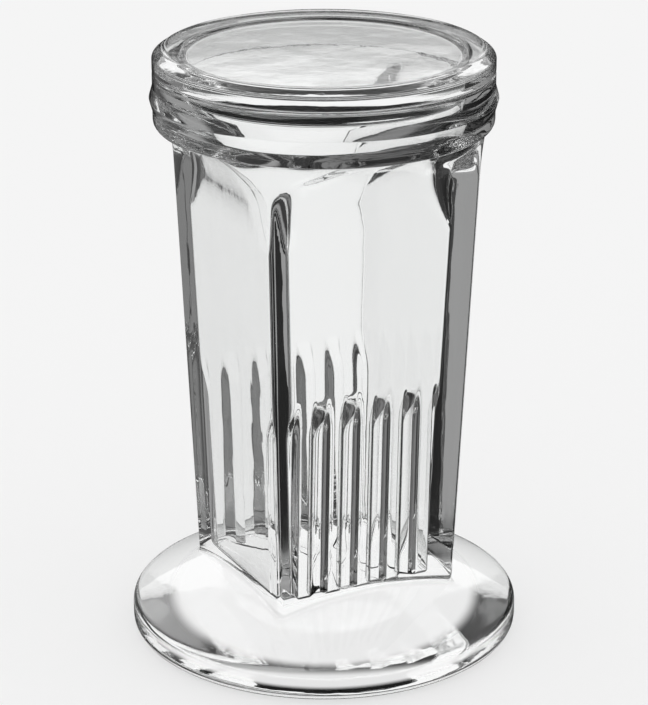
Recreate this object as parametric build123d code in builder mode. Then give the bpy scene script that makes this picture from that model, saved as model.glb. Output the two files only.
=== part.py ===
"""Slide staining jar: a pressed-glass jar with ribbed walls for upright microscope slides, and its glass lid.

Frame: millimetres, +Z up, origin at the centre of the foot's underside. X runs along the row of slots,
and the slides span the cavity along Y, between its two ribbed walls.
"""

import os
from math import cos, hypot, radians, sin, sqrt, tan

from build123d import *

# Slides that the jar holds
SLIDE_WIDTH = 26.0
SLIDE_PLAY = 1.35  # between a slide's edge and the wall, at the cavity's floor
SLOT_COUNT = 5
SLOT_PITCH = 6.0

# Heights above the table
FLOOR_HEIGHT = 12.5  # inside floor of the cavity, where the walls are measured too
COLUMN_TOP = 86.5  # where the outside faces start to flare
NECK_BOTTOM = 95.8
CAVITY_COLUMN_TOP = 79.0  # where the cavity's faces start to flare
BORE_BOTTOM = 97.4
BEAD_MIDDLE = 100.7
RIM_HEIGHT = 105.4  # top of the jar, where the lid rests

# Square body and the cavity in it
END_WALL = 4.0  # thickness of the two plain walls
RIBBED_WALL = 3.0  # thickness of the two ribbed walls, without their ribs
DRAFT = 2.0  # degrees that every upright face leans outwards
OUTER_CORNER_RADIUS = 0.9
INNER_CORNER_RADIUS = 1.0
FLOOR_FILLET = 0.9
CORNER_FILL = 2.0  # how far the cavity's corners fill in below the round bore
SHOULDER_RISE = 4.5  # height over which the corners run out to the neck
FLARE_STEPS = 8

# Neck and bead
NECK_OVERHANG = 1.365  # how far the neck stands out past the body's corners
NECK_WALL = 4.8
NECK_ROUND = 1.5
BEAD_STEP = 0.6  # how far the bead's edge stands out past the neck
BEAD_HEIGHT = 4.2
RIM_ROUND = 0.4

# Foot
FOOT_RADIUS = 35.5
FOOT_RIM_HEIGHT = 5.65  # height of the foot's top edge, before it is rounded
FOOT_CROWN_HEIGHT = 14.2  # height that the crowned top would reach at the axis
FOOT_TOP_ROUND = 2.4
FOOT_BOTTOM_ROUND = 2.2
RECESS_RADIUS = 17.0
RECESS_DEPTH = 0.9

# Ribs
RIB_ROOT_WIDTH = 4.3  # where the rib starts, sunk in the wall
RIB_CREST_WIDTH = 2.3
RIB_DEPTH = 3.0
RIB_FULL_TOP = 43.0  # full depth up to here
RIB_TOP = 51.0  # faded into the wall here
RIB_CREST_ROUND = 0.8
EMBED = 1.0  # how far a feature is sunk in the glass that it grows from

# Lid
LID_THICKNESS = 4.0
LID_SIDE_HEIGHT = 2.6
LID_SIDE_ROUND = 0.8
LID_TOP_EDGE = 2.0  # run of the sloping edge around the top
LID_TOP_ROUND = 2.0
PLUG_CLEARANCE = 0.6
PLUG_DEPTH = 3.6
PLUG_ROUND = 0.8

LEAN = tan(radians(DRAFT))


def column_plan(height, face_x, face_y, radius):
    """Plan of an upright column at a height: its faces lean outwards from the cavity's floor up."""
    out = (height - FLOOR_HEIGHT) * LEAN
    return height, face_x + out, face_y + out, radius


def corner_reach(face_x, face_y, radius):
    """Distance from the axis to the outermost point of a rounded corner."""
    return hypot(face_x - radius, face_y - radius) + radius


def flare_plans(column_top, target, neck_bottom, corner_fill=0):
    """Plans of the stretch where a square column turns round, from its top plan to the target radius.

    The faces curve outwards on a quarter ellipse. The corners go on leaning until the shoulder, less
    what fills them in, and run out to the target there. Each corner's radius follows from the two.
    """
    start, face_x, face_y, radius = column_top
    plans = []
    for step in range(FLARE_STEPS):
        turn = radians(90 * step / FLARE_STEPS)
        height = start + (neck_bottom - start) * sin(turn)
        share = 1 - cos(turn)
        wide = face_x + (target - face_x) * share
        deep = face_y + (target - face_y) * share
        filled = min(2 * (height - start) / (neck_bottom - start), 1)
        reach = corner_reach(face_x, face_y, radius) + (height - start) * LEAN * sqrt(2)
        reach -= corner_fill * filled * (2 - filled)
        rise = max(height - (neck_bottom - SHOULDER_RISE), 0) / SHOULDER_RISE
        reach += (target - reach) * rise**2
        span = wide + deep - reach
        plans.append((height, wide, deep, span - sqrt(span**2 + reach**2 - wide**2 - deep**2)))
    return plans


def draw_plan(height, face_x, face_y, radius):
    """Sketch of one plan: a rectangle with rounded corners, at its height."""
    with BuildSketch(Plane.XY.offset(height)) as plan:
        RectangleRounded(2 * face_x, 2 * face_y, radius)
    return plan.sketch


# Plans of the body's outside and of its cavity
cavity_x = (SLOT_COUNT * SLOT_PITCH - RIB_CREST_WIDTH) / 2
cavity_y = SLIDE_WIDTH / 2 + SLIDE_PLAY
cavity_faces = (cavity_x, cavity_y, INNER_CORNER_RADIUS)
body_faces = (cavity_x + END_WALL, cavity_y + RIBBED_WALL, OUTER_CORNER_RADIUS)
body_top = column_plan(COLUMN_TOP, *body_faces)
cavity_top = column_plan(CAVITY_COLUMN_TOP, *cavity_faces)
body_circle = corner_reach(*column_plan(NECK_BOTTOM, *body_faces)[1:])
neck_radius = body_circle + NECK_OVERHANG
bore_radius = neck_radius - NECK_WALL
body_flare = flare_plans(body_top, body_circle, NECK_BOTTOM)
cavity_flare = flare_plans(cavity_top, bore_radius, BORE_BOTTOM, CORNER_FILL)
neck_start = body_flare[-1][0]
bore_start = cavity_flare[-1][0]

# The cavity's shape, which is cut out of the jar
with BuildPart() as cavity:
    loft(sections=[draw_plan(*column_plan(FLOOR_HEIGHT, *cavity_faces)), draw_plan(*cavity_top)])
    fillet(cavity.faces().sort_by(Axis.Z)[0].edges(), FLOOR_FILLET)
    loft(sections=[draw_plan(*plan) for plan in cavity_flare])
    with BuildSketch(Plane.XY.offset(bore_start)):
        Circle(bore_radius)
    extrude(amount=RIM_HEIGHT + EMBED - bore_start)

# The ribs of one wall, then of both
rib_root = cavity_y + EMBED
rib_crest = cavity_y - RIB_DEPTH
beyond_wall = rib_root + RIB_DEPTH

with BuildPart() as ribs:
    with BuildSketch(Plane.XY.offset(FLOOR_HEIGHT - EMBED)) as rib_plan:
        crest = rib_crest - EMBED * LEAN
        for rib in range(SLOT_COUNT + 1):
            middle = (rib - SLOT_COUNT / 2) * SLOT_PITCH
            with BuildLine():
                Polyline(
                    (middle - RIB_ROOT_WIDTH / 2, rib_root),
                    (middle - RIB_CREST_WIDTH / 2, crest),
                    (middle + RIB_CREST_WIDTH / 2, crest),
                    (middle + RIB_ROOT_WIDTH / 2, rib_root),
                    close=True,
                )
            make_face()
        fillet(rib_plan.vertices().group_by(Axis.Y)[0], RIB_CREST_ROUND)
    extrude(amount=RIB_TOP + EMBED - FLOOR_HEIGHT, dir=(0, sin(radians(DRAFT)), cos(radians(DRAFT))))
    with BuildSketch(Plane.YZ):
        with BuildLine():
            Polyline(
                (0, FLOOR_HEIGHT - EMBED),
                (beyond_wall, FLOOR_HEIGHT - EMBED),
                (beyond_wall, RIB_TOP),
                (cavity_y + (RIB_TOP - FLOOR_HEIGHT) * LEAN, RIB_TOP),
                (rib_crest + (RIB_FULL_TOP - FLOOR_HEIGHT) * LEAN, RIB_FULL_TOP),
                (0, RIB_FULL_TOP),
                close=True,
            )
        make_face()
    extrude(amount=cavity_x + SLOT_PITCH, both=True, mode=Mode.INTERSECT)
    mirror(about=Plane.XZ)

# Jar: foot, square body, neck and bead are one pressing
crown_rise = FOOT_CROWN_HEIGHT - FOOT_RIM_HEIGHT
crown_radius = (FOOT_RADIUS**2 + crown_rise**2) / (2 * crown_rise)
recess_curve = (RECESS_RADIUS**2 + RECESS_DEPTH**2) / (2 * RECESS_DEPTH)

with BuildPart() as jar:
    with BuildSketch(Plane.XZ) as foot_profile:
        with BuildLine():
            Line((0, FOOT_CROWN_HEIGHT), (0, RECESS_DEPTH))
            RadiusArc((0, RECESS_DEPTH), (RECESS_RADIUS, 0), recess_curve)
            Polyline((RECESS_RADIUS, 0), (FOOT_RADIUS, 0), (FOOT_RADIUS, FOOT_RIM_HEIGHT))
            RadiusArc((FOOT_RADIUS, FOOT_RIM_HEIGHT), (0, FOOT_CROWN_HEIGHT), -crown_radius)
        make_face()
        fillet(foot_profile.vertices().sort_by_distance((FOOT_RADIUS, 0))[0], FOOT_BOTTOM_ROUND)
        fillet(foot_profile.vertices().sort_by_distance((FOOT_RADIUS, FOOT_RIM_HEIGHT))[0], FOOT_TOP_ROUND)
    revolve(axis=Axis.Z)
    body_root = column_plan(FOOT_RIM_HEIGHT, *body_faces)
    loft(sections=[draw_plan(*body_root), draw_plan(*body_top)])
    loft(sections=[draw_plan(*plan) for plan in body_flare])
    with BuildSketch(Plane.XZ) as neck_profile:
        with BuildLine():
            Polyline(
                (0, neck_start),
                (neck_radius, neck_start),
                (neck_radius, BEAD_MIDDLE - BEAD_HEIGHT / 2),
                (neck_radius + BEAD_STEP, BEAD_MIDDLE),
                (neck_radius, BEAD_MIDDLE + BEAD_HEIGHT / 2),
                (neck_radius, RIM_HEIGHT),
                (0, RIM_HEIGHT),
                close=True,
            )
        make_face()
        fillet(neck_profile.vertices().sort_by_distance((neck_radius, neck_start))[0], NECK_ROUND)
        fillet(neck_profile.vertices().sort_by_distance((neck_radius, RIM_HEIGHT))[0], RIM_ROUND)
    revolve(axis=Axis.Z)
    add(cavity.part, mode=Mode.SUBTRACT)
    add(ribs.part)

# Lid: a thick disc, as wide as the neck, whose plug sits in the jar's mouth
lid_radius = neck_radius
lid_top = RIM_HEIGHT + LID_THICKNESS
side_top = RIM_HEIGHT + LID_SIDE_HEIGHT
top_radius = lid_radius - LID_TOP_EDGE
plug_radius = bore_radius - PLUG_CLEARANCE
plug_bottom = RIM_HEIGHT - PLUG_DEPTH

with BuildPart() as lid:
    with BuildSketch(Plane.XZ) as lid_profile:
        with BuildLine():
            Polyline(
                (0, plug_bottom),
                (plug_radius, plug_bottom),
                (plug_radius, RIM_HEIGHT),
                (lid_radius, RIM_HEIGHT),
                (lid_radius, side_top),
                (top_radius, lid_top),
                (0, lid_top),
                close=True,
            )
        make_face()
        fillet(lid_profile.vertices().sort_by_distance((plug_radius, plug_bottom))[0], PLUG_ROUND)
        fillet(lid_profile.vertices().sort_by_distance((lid_radius, side_top))[0], LID_SIDE_ROUND)
        fillet(lid_profile.vertices().sort_by_distance((top_radius, lid_top))[0], LID_TOP_ROUND)
    revolve(axis=Axis.Z)

jar.part.label = "jar"
lid.part.label = "lid"

os.makedirs("parts", exist_ok=True)
export_step(jar.part, "parts/jar.step")
export_step(lid.part, "parts/lid.step")
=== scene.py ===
"""Slide staining jar: a pressed-glass jar and its loose lid, on a pale table in soft studio light."""

from math import acos, atan2, cos, hypot, pi, radians, sin, sqrt, tan

import bmesh
import bpy
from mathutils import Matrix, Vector


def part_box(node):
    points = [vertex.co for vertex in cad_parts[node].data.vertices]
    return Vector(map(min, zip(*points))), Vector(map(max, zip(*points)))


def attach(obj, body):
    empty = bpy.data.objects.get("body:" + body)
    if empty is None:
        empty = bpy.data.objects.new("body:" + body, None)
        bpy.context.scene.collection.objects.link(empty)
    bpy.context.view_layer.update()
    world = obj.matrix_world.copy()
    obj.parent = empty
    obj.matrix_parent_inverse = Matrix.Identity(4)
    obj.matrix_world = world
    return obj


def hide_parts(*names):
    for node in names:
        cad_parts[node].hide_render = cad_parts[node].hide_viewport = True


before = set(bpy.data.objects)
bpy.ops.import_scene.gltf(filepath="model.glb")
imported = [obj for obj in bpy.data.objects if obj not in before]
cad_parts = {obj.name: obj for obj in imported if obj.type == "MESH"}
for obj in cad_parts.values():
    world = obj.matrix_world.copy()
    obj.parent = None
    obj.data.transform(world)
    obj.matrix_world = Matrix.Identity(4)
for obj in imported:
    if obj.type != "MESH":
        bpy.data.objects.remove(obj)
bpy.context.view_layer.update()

MM = 0.001  # sizes are in millimetres, and a mesh is put down in metres

# ---------------------------------------------------------------- sizes read from the frame
jar_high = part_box("jar")[1] / MM
lid_low, lid_high = (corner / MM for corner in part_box("lid"))
FOOT_RADIUS = jar_high.x
RIM_HEIGHT = jar_high.z
LID_RADIUS = lid_high.x
LID_TOP = lid_high.z
PLUG_BOTTOM = lid_low.z

# ---------------------------------------------------------------- the jar's own sizes
FLOOR_HEIGHT = 12.5
COLUMN_TOP = 86.5
CAVITY_COLUMN_TOP = 79.0
NECK_BOTTOM = 95.8
BORE_BOTTOM = 97.4
BEAD_BOTTOM = 98.6
BEAD_TIP = 100.7
BEAD_TOP = 102.8
LEAN = tan(radians(2.0))
BODY = (17.85, 17.35, 0.9)  # half width, half depth and corner radius, at the height of the floor
CAVITY = (13.85, 14.35, 1.0)  # the same, inside
FLOOR_FILLET = 0.9
CORNER_FILL = 2.0  # how far the cavity's corners fill in below the round bore
SHOULDER_RISE = 4.5  # height over which the corners run out to the neck
NECK_RADIUS = 30.0
BORE_RADIUS = 25.2
BEAD_RADIUS = 30.6
NECK_UNDERSIDE = (28.3, 95.6)  # radius and height where the neck's underside starts
NECK_EDGE_HEIGHT = 95.7
MOUTH_STRAIGHT_END = 97.5  # how far down the mouth is a plain bore
FOOT_RIM_HEIGHT = 5.65
FOOT_CROWN_HEIGHT = 14.2  # height that the crowned top would reach at the axis
FOOT_BOTTOM_ROUND = 2.2
FOOT_TOP_ROUND = 2.0
FOOT_EDGE = 33.0  # radius where the rounded rim runs into the crown
FOOT_FILLET = 0.9  # where the body grows out of the foot
RECESS_RADIUS = 17.0
RECESS_DEPTH = 0.9
GROUND_EDGE = (24.5, 27.5)  # the underside is ground matt inside the first radius, and clear past the second
GROUND_SHARE = 0.85

RIB_PITCH = 6.0
RIB_MIDDLES = (3.0, 9.0, 15.0)
RIB_ROOT = 1.9  # half the width of a rib at the wall
RIB_CREST = 0.9  # half the width of its flat crest
RIB_DEPTH = 3.0
RIB_FULL_TOP = 43.0  # full depth up to here
RIB_TOP = 51.0  # faded into the wall here
RIB_CORNER_RADIUS = 0.35  # where the end rib fills the cavity's corner

LID_SEAT = 0.06  # air between the rim and the lid
LID_SLOPE_START = 108.0
LID_TOP_RADIUS = 28.0  # where the sloping edge meets the flat top
PLUG_RADIUS = 24.6

# ---------------------------------------------------------------- plans and profiles


def smooth(share):
    """Eases a share between 0 and 1, flat at both ends."""
    share = min(max(share, 0.0), 1.0)
    return share * share * (3 - 2 * share)


def mix(a, b, share):
    return a + (b - a) * share


def steps(low, high, count):
    """count values from low up to, but not including, high."""
    return [mix(low, high, k / count) for k in range(count)]


def column(height, faces):
    """A square column's plan at a height: half width, half depth and corner radius."""
    wide, deep, radius = faces
    out = (height - FLOOR_HEIGHT) * LEAN
    return wide + out, deep + out, radius


def corner_reach(wide, deep, radius):
    return hypot(wide - radius, deep - radius) + radius


def flare(share, faces, bottom, top, target, fill=0):
    """Height and plan at a share of the stretch where a square column turns round."""
    wide, deep, radius = column(bottom, faces)
    height = mix(bottom, top, sin(share * pi / 2))
    turned = 1 - cos(share * pi / 2)
    reach = corner_reach(wide, deep, radius) + (height - bottom) * LEAN * sqrt(2)
    filled = min(2 * (height - bottom) / (top - bottom), 1)
    reach -= fill * filled * (2 - filled)
    rise = max(height - (top - SHOULDER_RISE), 0) / SHOULDER_RISE
    reach = mix(reach, target, rise**2)
    wide, deep = mix(wide, target, turned), mix(deep, target, turned)
    span = wide + deep - reach
    inside = max(span**2 + reach**2 - wide**2 - deep**2, 0)
    return height, (wide, deep, span - sqrt(inside))


def plan_point(angle, plan):
    """Where a ray from the axis, in the first quadrant, meets a rectangle with rounded corners."""
    wide, deep, radius = plan
    c, s = cos(angle), sin(angle)
    if wide * s <= (deep - radius) * c:
        reach = wide / c
    elif deep * c <= (wide - radius) * s:
        reach = deep / s
    else:
        x, y = wide - radius, deep - radius
        along = c * x + s * y
        reach = along + sqrt(max(along**2 - x * x - y * y + radius**2, 0))
    return reach * c, reach * s


def rounded(points, radii, count=6, hold=0.1):
    """A profile's points with its corners rounded, each to its own radius, 0 for a plain one.

    A point held close to each end of a round keeps the straight stretch beyond it flat.
    """
    out = [points[0]]
    for k in range(1, len(points) - 1):
        here, radius = Vector(points[k]), radii[k]
        if not radius:
            out.append(tuple(here))
            continue
        back, on = Vector(points[k - 1]) - here, Vector(points[k + 1]) - here
        back.normalize()
        on.normalize()
        half = acos(max(-1, min(1, back.dot(on)))) / 2
        run = radius / tan(half)
        centre = here + (back + on).normalized() * (radius / sin(half))
        start, end = here + back * run - centre, here + on * run - centre
        turn = start.angle_signed(end)
        out.append(tuple(here + back * (run + hold)))
        for j in range(count + 1):
            a = -turn * j / count
            spoke = Vector((start.x * cos(a) - start.y * sin(a), start.x * sin(a) + start.y * cos(a)))
            out.append(tuple(centre + spoke))
        out.append(tuple(here + on * (run + hold)))
    out.append(points[-1])
    return out


def all_round(quarter):
    """A whole ring from the points of one quarter, which run from the X axis to the Y axis."""
    back = quarter[::-1]
    ring = quarter[:-1]
    ring += [(-x, y, z) for x, y, z in back[:-1]]
    ring += [(-x, -y, z) for x, y, z in quarter[:-1]]
    ring += [(x, -y, z) for x, y, z in back[:-1]]
    return ring


class Skin:
    """A closed skin of glass, grown ring by ring from a flat disc."""

    def __init__(self, ring):
        self.mesh = bmesh.new()
        disc = bmesh.ops.create_circle(self.mesh, cap_ends=True, segments=len(ring), radius=1)
        self.ring = disc["verts"]
        self.place(ring)

    def place(self, ring):
        for vert, point in zip(self.ring, ring):
            vert.co = Vector(point) * MM

    def edges(self):
        """The edges of the last ring, in its own order."""
        out = []
        for k, vert in enumerate(self.ring):
            after = self.ring[(k + 1) % len(self.ring)]
            out.append(next(e for e in vert.link_edges if e.other_vert(vert) is after))
        return out

    def grow(self, ring):
        grown = bmesh.ops.extrude_edge_only(self.mesh, edges=self.edges())["geom"]
        new = {g for g in grown if isinstance(g, bmesh.types.BMVert)}
        self.ring = [next(e.other_vert(v) for e in v.link_edges if e.other_vert(v) in new) for v in self.ring]
        self.place(ring)

    def close(self):
        bmesh.ops.edgeloop_fill(self.mesh, edges=self.edges())
        bmesh.ops.recalc_face_normals(self.mesh, faces=self.mesh.faces)


def finished(name, mesh, material, node):
    """Makes a finished mesh a piece of the jar that stands for its CAD node."""
    for face in mesh.faces:
        face.smooth = True
    data = bpy.data.meshes.new(name)
    mesh.to_mesh(data)
    mesh.free()
    data.materials.append(material)
    piece = bpy.data.objects.new(name, data)
    bpy.context.collection.objects.link(piece)
    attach(piece, "root")
    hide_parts(node)
    return piece


# ---------------------------------------------------------------- the jar

SIDE_COLUMNS = 9  # columns of faces on one half of a plain wall
FLANK_COLUMNS = 7  # on each flank of a rib
CORNER_COLUMNS = 30  # round a corner of the cavity, into the slot beside it

crown_rise = FOOT_CROWN_HEIGHT - FOOT_RIM_HEIGHT
crown_radius = (FOOT_RADIUS**2 + crown_rise**2) / (2 * crown_rise)
body_circle = corner_reach(*column(NECK_BOTTOM, BODY))


def crown_height(radius):
    """Height of the foot's crowned top at a radius."""
    return FOOT_CROWN_HEIGHT - crown_radius + sqrt(crown_radius**2 - radius**2)


def outside_angles(count):
    """Angles of one quarter of the outside, crowded at the body's sharp corner."""
    corner, spread, close = radians(44.2), radians(3.4), 24
    plain = count - close
    first = plain // 2
    out = steps(0, corner - spread, first)
    out += steps(corner - spread, corner + spread, close)
    out += steps(corner + spread, pi / 2, plain - first)
    return out + [pi / 2]


def rib_columns():
    """X of the columns on one half of a ribbed wall, from inside the end slot to the middle."""
    out = []
    flank = [k / (FLANK_COLUMNS - 1) for k in range(FLANK_COLUMNS)]
    for middle in RIB_MIDDLES[1::-1]:
        out += [mix(middle + RIB_ROOT, middle + RIB_CREST, share) for share in flank]
        out.append(middle)
        out += [mix(middle - RIB_CREST, middle - RIB_ROOT, share) for share in flank]
        gap = middle - RIB_ROOT
        after = middle - RIB_PITCH + RIB_ROOT
        out += [gap / 2, 0.0] if after < 0 else [mix(gap, after, 1 / 3), mix(gap, after, 2 / 3)]
    return out


def rib_height(x, height):
    """How far the ribs stand out of the wall at x."""
    ramp = smooth((RIB_TOP - height) / (RIB_TOP - RIB_FULL_TOP))
    near = min(abs(x - middle) for middle in RIB_MIDDLES)
    return RIB_DEPTH * ramp * smooth((RIB_ROOT - near) / (RIB_ROOT - RIB_CREST))


ribbed = rib_columns()
END_SLOT = ribbed[0] + 0.6  # where the corner's columns end, in the slot beside the end wall


def even(points, count):
    """count points spread evenly along a line of points, without its last one."""
    lengths = [0.0]
    for (x0, y0), (x1, y1) in zip(points, points[1:]):
        lengths.append(lengths[-1] + hypot(x1 - x0, y1 - y0))
    out, k = [], 0
    for j in range(count):
        target = lengths[-1] * j / count
        while lengths[k + 1] < target:
            k += 1
        share = (target - lengths[k]) / max(lengths[k + 1] - lengths[k], 1e-9)
        (x0, y0), (x1, y1) = points[k], points[k + 1]
        out.append((mix(x0, x1, share), mix(y0, y1, share)))
    return out


def inside_quarter(height, plan, ribs=True):
    """One quarter of the cavity's outline at a height, in the columns that the ribs need."""
    wide, deep, radius = plan
    face = CAVITY[1] + (height - FLOOR_HEIGHT) * LEAN
    depth = rib_height(RIB_MIDDLES[-1], height) if ribs else 0.0
    top = min(deep, face - depth)
    round_off = mix(radius, min(radius, RIB_CORNER_RADIUS), min(depth, 1.0))
    start = top - round_off
    side = [(wide, y) for y in steps(0, start - 0.3, SIDE_COLUMNS)]
    corner = [(wide, start - 0.3)]
    for k in range(9):
        a = k / 8 * pi / 2
        corner.append((wide - round_off * (1 - cos(a)), start + round_off * sin(a)))
    for x in steps(wide - round_off, END_SLOT, 40)[1:] + [END_SLOT]:
        y = min(deep, face - rib_height(x, height)) if ribs else deep
        if depth:
            over = x - (wide - radius)
            y = min(y, deep - radius + sqrt(radius**2 - over**2)) if over > 0 else y
        corner.append((x, max(y, corner[-1][1])))
    out = side + even(corner, CORNER_COLUMNS)
    out += [(x, deep) for x in steps(END_SLOT, ribbed[0], 2)] + [(x, deep) for x in ribbed]
    if not ribs:
        return [(x, y, height) for x, y in out]
    return [(x, min(y, face - rib_height(x, height)), height) for x, y in out]


ANGLES = outside_angles(len(inside_quarter(FLOOR_HEIGHT, CAVITY)) - 1)
cavity_top = inside_quarter(CAVITY_COLUMN_TOP, column(CAVITY_COLUMN_TOP, CAVITY), ribs=False)
INSIDE_ANGLES = [atan2(y, x) for x, y, _ in cavity_top]


def circle(radius, height, angles=ANGLES):
    return all_round([(radius * cos(a), radius * sin(a), height) for a in angles])


def junction(angle):
    """Where the body's face meets the foot's crown, seen from the axis."""
    height = FLOOR_HEIGHT - 1.5  # a first guess, which each turn of the loop brings closer
    for _ in range(6):
        reach = hypot(*plan_point(angle, column(height, BODY)))
        height = crown_height(reach)
    return reach, height


def outside_rings():
    """The jar's outside, from under the foot up to the rim."""
    for k in range(1, 12):
        share = k / 12
        yield circle(RECESS_RADIUS * share, RECESS_DEPTH * (1 - share**2))
    under = rounded(
        [
            (RECESS_RADIUS, 0),
            (FOOT_RADIUS, 0),
            (FOOT_RADIUS, FOOT_RIM_HEIGHT),
            (FOOT_EDGE, crown_height(FOOT_EDGE)),
        ],
        [0, FOOT_BOTTOM_ROUND, FOOT_TOP_ROUND, 0],
    )
    for r, z in under:
        yield circle(r, z)
    meets = [junction(a) for a in ANGLES]
    for share in (0.1, 0.25, 0.45, 0.65, 0.82):
        quarter = []
        for a, (reach, _) in zip(ANGLES, meets):
            r = mix(FOOT_EDGE, reach + 1.0, share)
            quarter.append((r * cos(a), r * sin(a), crown_height(r)))
        yield all_round(quarter)
    for share in (0.0, 0.2, 0.4, 0.6, 0.8, 1.0):
        quarter = []
        for a, (reach, height) in zip(ANGLES, meets):
            r0 = reach + FOOT_FILLET
            z0 = crown_height(r0)
            z2 = height + FOOT_FILLET
            x2, y2 = plan_point(a, column(z2, BODY))
            r2 = hypot(x2, y2)
            u = 1 - share
            r = u * u * r0 + 2 * u * share * reach + share * share * r2
            z = u * u * z0 + 2 * u * share * height + share * share * z2
            quarter.append((r * cos(a), r * sin(a), z))
        yield all_round(quarter)
    for share in (0.01, 0.05, 0.15, 0.3, 0.45, 0.6, 0.75, 0.87, 0.95, 0.99):
        quarter = []
        for a, (_, height) in zip(ANGLES, meets):
            z = mix(height + FOOT_FILLET, COLUMN_TOP, share)
            x, y = plan_point(a, column(z, BODY))
            quarter.append((x, y, z))
        yield all_round(quarter)
    for k in range(25):
        z, plan = flare(k / 25 * 0.9, BODY, COLUMN_TOP, NECK_BOTTOM, body_circle)
        yield all_round([(*plan_point(a, plan), z) for a in ANGLES])
    neck = rounded(
        [
            NECK_UNDERSIDE,
            (NECK_RADIUS, NECK_EDGE_HEIGHT),
            (NECK_RADIUS, BEAD_BOTTOM),
            (BEAD_RADIUS, BEAD_TIP),
            (NECK_RADIUS, BEAD_TOP),
            (NECK_RADIUS, RIM_HEIGHT),
            (BORE_RADIUS + 1, RIM_HEIGHT),
        ],
        [0, 1.4, 1.0, 0.35, 1.5, 0.5, 0],
        5,
    )
    for r, z in neck[1:]:
        yield circle(r, z)


def inside_rings():
    """The jar's inside, from the rim down to the cavity's floor."""
    mouth = [(BORE_RADIUS + 1, RIM_HEIGHT), (BORE_RADIUS, RIM_HEIGHT), (BORE_RADIUS, MOUTH_STRAIGHT_END)]
    for r, z in rounded(mouth, [0, 0.5, 0], 4)[1:]:
        yield circle(r, z, INSIDE_ANGLES)
    for k in range(24, 0, -1):
        z, plan = flare(k / 25, CAVITY, CAVITY_COLUMN_TOP, BORE_BOTTOM, BORE_RADIUS, CORNER_FILL)
        yield all_round([(*plan_point(a, plan), z) for a in INSIDE_ANGLES])
    heights = [CAVITY_COLUMN_TOP - h for h in (0, 0.4, 2, 8, 16, 22, 26, 27.5)]
    heights += steps(RIB_TOP, RIB_FULL_TOP, 10)
    heights += [RIB_FULL_TOP, 42.5, 40, 34, 28, 22, 18]
    for z in heights:
        yield all_round(inside_quarter(z, column(z, CAVITY)))
    wide, deep, radius = CAVITY
    for k in range(7):
        turn = k / 6 * pi / 2
        z = FLOOR_HEIGHT + FLOOR_FILLET * (1 - sin(turn))
        inset = FLOOR_FILLET * (1 - cos(turn))
        out = (z - FLOOR_HEIGHT) * LEAN
        plan = (wide + out - inset, deep + out - inset, radius - inset)
        yield all_round(inside_quarter(z, plan))
    last = inside_quarter(FLOOR_HEIGHT, (wide - FLOOR_FILLET, deep - FLOOR_FILLET, radius - FLOOR_FILLET))
    for share in (0.97, 0.6, 0.3):
        yield all_round([(x * share, y * share, z) for x, y, z in last])


def jar_mesh():
    """The jar, one closed skin: up its outside, over the rim and down its inside."""
    rings = list(outside_rings()) + list(inside_rings())
    skin = Skin(rings[0])
    for ring in rings[1:]:
        skin.grow(ring)
    skin.close()
    return skin.mesh


# ---------------------------------------------------------------- the lid


def lid_mesh():
    """The lid, spun from its profile: a thick disc with a sloping edge, and the plug under it."""
    under = RIM_HEIGHT + LID_SEAT
    points = [
        (0.0, PLUG_BOTTOM),
        (PLUG_RADIUS, PLUG_BOTTOM),
        (PLUG_RADIUS, under),
        (LID_RADIUS, under),
        (LID_RADIUS, LID_SLOPE_START),
        (LID_TOP_RADIUS, LID_TOP),
        (0.0, LID_TOP),
    ]
    profile = rounded(points, [0, 0.8, 0.3, 0.4, 0.8, 2.0, 0], 6)
    mesh = bmesh.new()
    verts = [mesh.verts.new((r * MM, 0, z * MM)) for r, z in profile]
    edges = [mesh.edges.new(pair) for pair in zip(verts, verts[1:])]
    profile_geometry = verts + edges
    bmesh.ops.spin(
        mesh, geom=profile_geometry, cent=(0, 0, 0), axis=(0, 0, 1), angle=2 * pi, steps=192, use_merge=True
    )
    bmesh.ops.remove_doubles(mesh, verts=mesh.verts, dist=1e-6)
    bmesh.ops.recalc_face_normals(mesh, faces=mesh.faces)
    return mesh


# ---------------------------------------------------------------- shader sums


class Link:
    """A node's output, with the sums that a shader needs written as plain arithmetic."""

    def __init__(self, tree, socket):
        self.tree, self.socket = tree, socket

    def maths(self, operation, *others, turned=False):
        values = [self, *others]
        if turned:
            values.reverse()
        return node(self.tree, "ShaderNodeMath", {"operation": operation}, dict(enumerate(values)))

    def __add__(self, other):
        return self.maths("ADD", other)

    __radd__ = __add__

    def __mul__(self, other):
        return self.maths("MULTIPLY", other)

    __rmul__ = __mul__

    def __sub__(self, other):
        return self.maths("SUBTRACT", other)

    def __rsub__(self, other):
        return self.maths("SUBTRACT", other, turned=True)

    def __gt__(self, other):
        return self.maths("GREATER_THAN", other)

    def ramp(self, low, high):
        """0 up to low, 1 from high on, with a smooth rise between them."""
        settings = {"interpolation_type": "SMOOTHSTEP"}
        return node(self.tree, "ShaderNodeMapRange", settings, {0: self, 1: low, 2: high})


def node(tree, kind, settings=None, values=None, output=0):
    """Makes a node, sets it up, then gives its sockets their values or links."""
    made = tree.nodes.new(kind)
    for name, value in (settings or {}).items():
        setattr(made, name, value)
    for name, value in (values or {}).items():
        if isinstance(value, Link):
            tree.links.new(value.socket, made.inputs[name])
        else:
            made.inputs[name].default_value = value
    return Link(tree, made.outputs[output])


# ---------------------------------------------------------------- glass


def noise(tree, place, scale, detail=2.0):
    return node(tree, "ShaderNodeTexNoise", values={"Vector": place, "Scale": scale, "Detail": detail})


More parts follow.
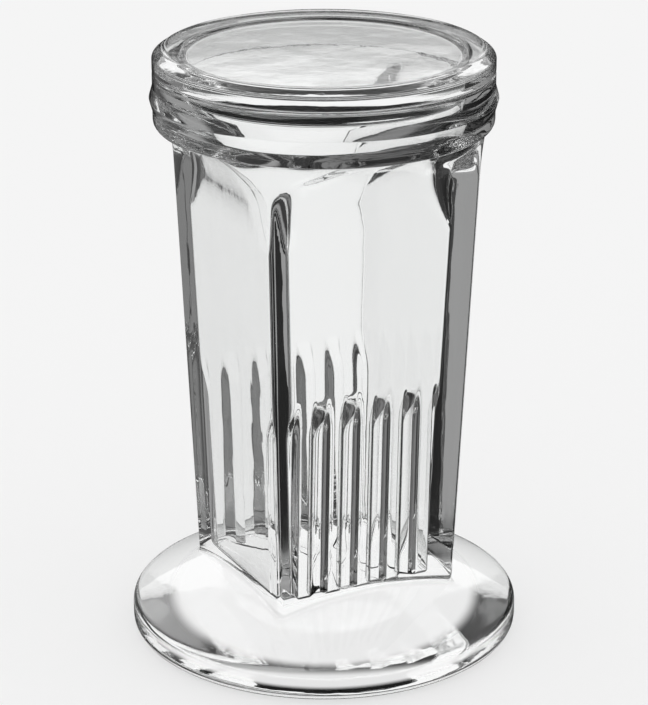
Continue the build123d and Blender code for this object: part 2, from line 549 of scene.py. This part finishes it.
def glass(name, waves, ground_height=None):
    """Clear pressed glass: slow waves from the mould, streaks drawn up the walls, and a faint haze.

    What lies below the ground height, if there is one, is ground matt out to the ground edge.
    """
    material = bpy.data.materials.new(name)
    material.use_nodes = True
    tree = material.node_tree
    shader = tree.nodes["Principled BSDF"]
    shader.inputs["Transmission Weight"].default_value = 1
    shader.inputs["IOR"].default_value = 1.5

    place = node(tree, "ShaderNodeTexCoord", output="Object")
    drawn = node(tree, "ShaderNodeVectorMath", {"operation": "MULTIPLY"}, {0: place, 1: (1, 1, 0.2)})
    slow = noise(tree, place, 70) * waves
    streaks = noise(tree, drawn, 260) * 0.25 * waves
    relief = slow + streaks + noise(tree, place, 900) * 0.01 * waves
    values = {"Strength": 1.0, "Distance": 0.001, "Height": relief}
    bump = node(tree, "ShaderNodeBump", values=values, output="Normal")
    tree.links.new(bump.socket, shader.inputs["Normal"])

    haze = noise(tree, place, 150, 4.0).ramp(0.5, 0.75)
    tree.links.new((haze * 0.015).socket, shader.inputs["Roughness"])
    tint = node(
        tree,
        "ShaderNodeMix",
        {"data_type": "RGBA"},
        {0: noise(tree, place, 40), 6: (1, 1, 1, 1), 7: (0.975, 0.985, 0.98, 1)},
        2,
    )
    tree.links.new(tint.socket, shader.inputs["Base Color"])

    if ground_height is not None:
        height = node(tree, "ShaderNodeSeparateXYZ", values={0: place}, output=2)
        matt = node(tree, "ShaderNodeBsdfTranslucent", values={"Color": (0.97, 0.97, 0.97, 1)})
        low = 1 - height.ramp(ground_height, ground_height + 0.0001)
        flat = node(tree, "ShaderNodeVectorMath", {"operation": "MULTIPLY"}, {0: place, 1: (1, 1, 0)})
        reach = node(tree, "ShaderNodeVectorMath", {"operation": "LENGTH"}, {0: flat}, "Value")
        ground = low * (1 - reach.ramp(GROUND_EDGE[0] * MM, GROUND_EDGE[1] * MM)) * GROUND_SHARE
        clear = Link(tree, shader.outputs[0])
        whole = node(tree, "ShaderNodeMixShader", values={0: ground, 1: clear, 2: matt})
        tree.links.new(whole.socket, tree.nodes["Material Output"].inputs["Surface"])
    return material


finished("jar_glass", jar_mesh(), glass("pressed glass", 0.07, ground_height=0.001), "jar")
finished("lid_glass", lid_mesh(), glass("lid glass", 0.03), "lid")

# ---------------------------------------------------------------- camera and render limits

side = radians(27.1)  # how far round from the front the camera stands
distance, height = 0.466, 0.2265  # metres from the jar's axis, and above the table
tilt = 20.47  # degrees that it looks down

camera = bpy.data.objects.new("camera", bpy.data.cameras.new("camera"))
bpy.context.collection.objects.link(camera)
bpy.context.scene.camera = camera
camera.data.sensor_width = 36
camera.data.lens = 140.4
camera.location = (-sin(side) * distance, -cos(side) * distance, height)
camera.rotation_euler = (radians(90 - tilt), 0, -side)
camera.data.clip_start = 0.01

scene = bpy.context.scene
scene.view_settings.view_transform = "Standard"
BOUNCES = 48  # light crosses many faces inside thick glass
scene.cycles.max_bounces = BOUNCES
scene.cycles.transmission_bounces = BOUNCES
scene.cycles.glossy_bounces = BOUNCES

# ---------------------------------------------------------------- studio light and table

BEHIND = 0.913  # what shows beside the glass
THROUGH = 1.0  # what shows through the glass, and what lights anything matt

# what a path finds once the glass has reflected it
SHADE = 0.01  # low down, straight ahead of the camera's side
BACK = 0.04  # low down, on the camera's side
CARDS = ((-54.0, 0.32), (126.0, 0.2))  # two cards: degrees to the right of straight ahead, and how pale
HIGH = 1.0  # high up
RISE = (0.239, 0.261)  # how high that is: the upward part of a direction, from dark to fully pale
TABLE_MATT = 0.35  # how much of the table takes the jar's shade
TABLE_RADIUS = 3.0  # metres
TABLE_DROP = 0.0002  # how far the table lies below the foot, so that the two faces don't meet


def path_light(tree, way, rise):
    """The light that a path finds in a direction.

    It is pale until the glass has reflected the path. From then on it is dark low down, but for the
    cards, and pale high up: rise is how high up the path looks, from 0 to 1.
    """
    flat = node(tree, "ShaderNodeVectorMath", {"operation": "MULTIPLY"}, {0: way, 1: (1, 1, 0)})
    flat = node(tree, "ShaderNodeVectorMath", {"operation": "NORMALIZE"}, {0: flat})

    def facing(turn):
        along = (sin(side + turn), cos(side + turn), 0)
        return node(tree, "ShaderNodeVectorMath", {"operation": "DOT_PRODUCT"}, {0: flat, 1: along}, "Value")

    low = BACK + facing(0).ramp(-0.2, 0.9) * (SHADE - BACK)
    for turn, pale in CARDS:
        low = low + facing(radians(turn)).ramp(0.85, 0.97) * (pale - low)
    beyond = low + rise * (HIGH - low)
    path = node(tree, "ShaderNodeLightPath").socket.node.outputs
    reflected = Link(tree, path["Glossy Depth"]) > 0.5
    light = THROUGH + reflected * (beyond - THROUGH)
    return light, Link(tree, path["Is Camera Ray"])


world = bpy.data.worlds.new("studio")
scene.world = world
world.use_nodes = True
tree = world.node_tree
going = node(tree, "ShaderNodeTexCoord")
rise = node(tree, "ShaderNodeSeparateXYZ", values={0: going}, output=2)
light, seen = path_light(tree, going, rise.ramp(*RISE))
light = light + seen * (BEHIND - light)
tree.links.new(light.socket, tree.nodes["Background"].inputs["Color"])


def floor_material():
    """The table: pale to the camera, with a little of the jar's shade, and studio light to the glass."""
    material = bpy.data.materials.new("pale table")
    material.use_nodes = True
    tree = material.node_tree
    tree.nodes.clear()
    place = node(tree, "ShaderNodeTexCoord", output="Object")
    light, seen = path_light(tree, place, 0)
    glow = node(tree, "ShaderNodeEmission", values={"Color": light})
    matt = node(tree, "ShaderNodeBsdfDiffuse", values={"Color": (BEHIND, BEHIND, BEHIND, 1)})
    plain = node(tree, "ShaderNodeEmission", values={"Color": (BEHIND, BEHIND, BEHIND, 1)})
    table = node(tree, "ShaderNodeMixShader", values={0: TABLE_MATT, 1: plain, 2: matt})
    whole = node(tree, "ShaderNodeMixShader", values={0: seen, 1: glow, 2: table})
    out = tree.nodes.new("ShaderNodeOutputMaterial")
    tree.links.new(whole.socket, out.inputs["Surface"])
    return material


table_top = bmesh.new()
bmesh.ops.create_circle(table_top, cap_ends=True, segments=96, radius=TABLE_RADIUS)
bmesh.ops.translate(table_top, verts=table_top.verts, vec=(0, 0, -TABLE_DROP))
floor_data = bpy.data.meshes.new("table")
table_top.to_mesh(floor_data)
table_top.free()
floor_data.materials.append(floor_material())
floor = bpy.data.objects.new("table", floor_data)
bpy.context.collection.objects.link(floor)
